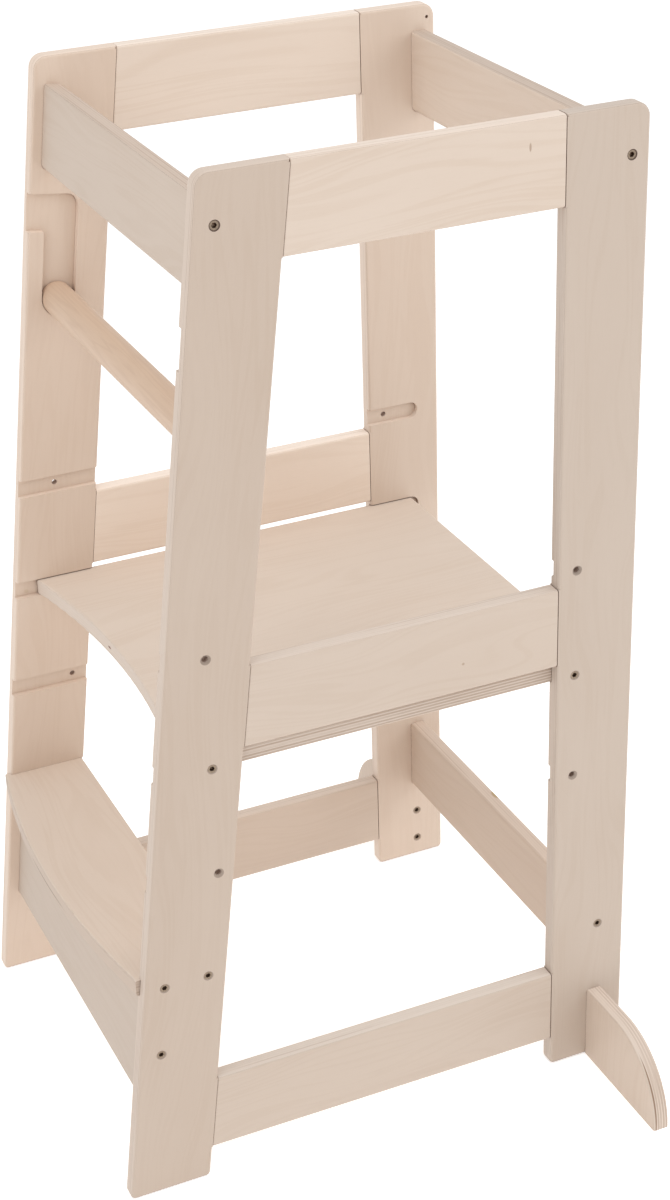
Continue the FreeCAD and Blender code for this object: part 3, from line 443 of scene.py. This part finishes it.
def board_material(board_name, centre, board, seed):
    """Plywood lying in a board's own axes: along its grain and across its face."""
    material, g, shader = new_material(f"plywood {board_name}")
    axes = (board.along, board.across, board.along.cross(board.across))
    offset = g.from_point(centre)
    shifts = (*(seed * shift for shift in SEED_SHIFT), 0.0)
    place = g.vector(*(g.add(g.times(g.dot(offset, axis), 1 / MM), shift)
                       for axis, shift in zip(axes, shifts)))
    true_normal = g.node("NewGeometry").outputs["Normal"]
    height = g.split(g.node("TexCoord").outputs["Object"])[2]
    plies = g.node("Group")
    plies.node_tree = PLYWOOD
    for name, value in (
            ("Place", place), ("Normal", g.vector(*(g.dot(true_normal, axis) for axis in axes))),
            ("Figure", board.figure), ("Plies", board.plies), ("Ends", board.ends),
            ("Edge", warmed(board.edge_tone, board.edge_warmth)),
            ("PaintedConeShade", g.smooth(height, *PAINTED_CONE_SHADE_BY_HEIGHT))):
        g.feed(plies.inputs[name], value)
    # the tint holds painted light and shade along with the board's own tone
    tint = warmed(board.tone, board.warmth)
    tinted = g.mix(1.0, plies.outputs["Colour"], tint, blend="MULTIPLY")
    if board_name in MARKS:
        spot, half_size, mark_colour = MARKS[board_name]
        tinted = g.mix(blemish(g, spot, half_size), tinted, mark_colour)
    # painted shade in seams, corners, holes and under ledges
    g.feed(shader.inputs["Base Color"], g.mix(painted_crevice_shade(g), tinted, PAINTED_SHADE, blend="MULTIPLY"))
    g.feed(shader.inputs["Roughness"], plies.outputs["Roughness"])
    shader.inputs["Specular IOR Level"].default_value = BOARD_GLOSS
    raise_grain(g, shader, plies.outputs["Height"])
    return material


def turned_wood_material(name, centre):
    """A beech rod that lies along X: straight fine grain and rays at its sides."""
    material, g, shader = new_material(name)
    place = [g.times(part, 1 / MM) for part in g.split(g.from_point(centre))]
    bands = g.noise(place, HEART_RATES, distortion=0.4)
    rings = g.math("SINE", g.times(bands, BEECH_RINGS))
    fibres = g.noise(place, BEECH_FIBRE_RATES, detail=3.0)
    shade = g.add(g.times(g.smooth(rings, *BEECH_RING_STEP), BEECH_RING_SHARE),
                  g.times(fibres, BEECH_FIBRE_SHARE))
    shade = g.math("ADD", shade, BEECH_PALENESS, clamp=True)
    g.feed(shader.inputs["Base Color"], g.mix(shade, BEECH_PALE, BEECH_DARK))
    g.feed(shader.inputs["Roughness"], g.add(BEECH_ROUGH, g.times(fibres, BEECH_ROUGH_FIBRES)))
    shader.inputs["Specular IOR Level"].default_value = BEECH_GLOSS
    raise_grain(g, shader, fibres)
    return material


def screw_material():
    """Zinc-plated steel with a dull film."""
    material, g, shader = new_material("zinc screw")
    film = g.noise(g.split(g.node("TexCoord").outputs["Object"]), FILM_RATES, detail=3.0)
    base = g.mix(film, ZINC_PALE, ZINC_DARK)
    # painted shade on the heads' rims, where they meet their countersinks
    g.feed(shader.inputs["Base Color"], g.mix(painted_crevice_shade(g), base, PAINTED_SHADE, blend="MULTIPLY"))
    shader.inputs["Metallic"].default_value = ZINC_METAL
    g.feed(shader.inputs["Roughness"], g.add(ZINC_ROUGH, g.times(film, ZINC_ROUGH_FILM)))
    return material


def dress(node, material):
    mesh = NODES[node].data
    mesh.materials.clear()
    mesh.materials.append(material)


def box_centre(node):
    low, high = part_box(node)
    return (Vector(low) + Vector(high)) / 2


def dress_boards():
    for seed, (node, board) in enumerate(BOARDS.items(), start=1):
        dress(node, board_material(node, box_centre(node), board, seed))


def dress_small_parts():
    screws = screw_material()
    dowels = turned_wood_material("dowel beech", Vector((0, 0, 0)))
    for node in NODES:
        if node.endswith("_screws"):
            dress(node, screws)
        elif node.endswith("_dowels"):
            dress(node, dowels)
    dress("safety_bar", turned_wood_material("bar beech", box_centre("safety_bar")))


# --- Floor, light and camera --------------------------------------------------

TOWER_MIDDLE = Vector((0, 0, 0.45))
FLOOR_SIZE = 200.0
FLOOR_GLOW = 0.42  # keeps the floor white to the picture's edges
FLOOR_WHITE = (0.93, 0.93, 0.93, 1.0)
FLOOR_ROUGH, FLOOR_GLOSS = 0.9, 0.1
WHITE = (1.0, 1.0, 1.0, 1.0)
SKY = 0.72  # strength of the even light from all round
# name, place in m, side in m, power in W
LAMPS = (("side", (0.9, -1.6, 2.0), 1.6, 12),
         ("back", (0.8, 1.8, 1.6), 1.5, 14),
         ("overhead", (0, 0, 2.6), 1.2, 8.5))
CAMERA_PLACE = (1.67815, -0.67998, 1.38719)
CAMERA_AZIMUTH = math.radians(66.46)
CAMERA_ELEVATION = math.radians(27.67)
CAMERA_ROLL = math.radians(-1.858)
SENSOR = 36.0  # mm, along the picture's long side
LENS = 69.32  # mm


def make_floor():
    bpy.ops.mesh.primitive_plane_add(size=FLOOR_SIZE)
    floor = bpy.context.object
    floor.name = "floor"
    material, _, shader = new_material("pale floor")
    shader.inputs["Base Color"].default_value = FLOOR_WHITE
    shader.inputs["Roughness"].default_value = FLOOR_ROUGH
    shader.inputs["Specular IOR Level"].default_value = FLOOR_GLOSS
    shader.inputs["Emission Color"].default_value = WHITE
    shader.inputs["Emission Strength"].default_value = FLOOR_GLOW
    floor.data.materials.append(material)


def softbox(name, place, size, power):
    """A square lamp that faces the middle of the tower."""
    data = bpy.data.lights.new(name, "AREA")
    data.shape = "SQUARE"
    data.size = size
    data.energy = power
    lamp = bpy.data.objects.new(name, data)
    bpy.context.collection.objects.link(lamp)
    lamp.location = place
    lamp.rotation_euler = (Vector(place) - TOWER_MIDDLE).to_track_quat("Z", "Y").to_euler()


def light_scene():
    world = bpy.data.worlds.new("studio")
    bpy.context.scene.world = world
    world.use_nodes = True
    background = world.node_tree.nodes["Background"]
    background.inputs["Color"].default_value = WHITE
    background.inputs["Strength"].default_value = SKY
    for lamp in LAMPS:
        softbox(*lamp)
    bpy.data.lights["overhead"].use_shadow = False  # fills the inside evenly


def make_camera():
    cos_el, sin_el = math.cos(CAMERA_ELEVATION), math.sin(CAMERA_ELEVATION)
    cos_az, sin_az = math.cos(CAMERA_AZIMUTH), math.sin(CAMERA_AZIMUTH)
    back = Vector((sin_az * cos_el, -cos_az * cos_el, sin_el))
    level = Vector((cos_az, sin_az, 0))
    upright = back.cross(level)
    side = math.cos(CAMERA_ROLL) * level + math.sin(CAMERA_ROLL) * upright
    top = math.cos(CAMERA_ROLL) * upright - math.sin(CAMERA_ROLL) * level
    camera = bpy.data.objects.new("camera", bpy.data.cameras.new("camera"))
    bpy.context.collection.objects.link(camera)
    camera.data.sensor_width = SENSOR
    camera.data.lens = LENS
    turn = Matrix((side, top, back)).transposed().to_4x4()
    camera.matrix_world = Matrix.Translation(CAMERA_PLACE) @ turn
    bpy.context.scene.camera = camera


dress_boards()
dress_small_parts()
make_floor()
light_scene()
make_camera()
bpy.context.scene.view_settings.view_transform = "Standard"
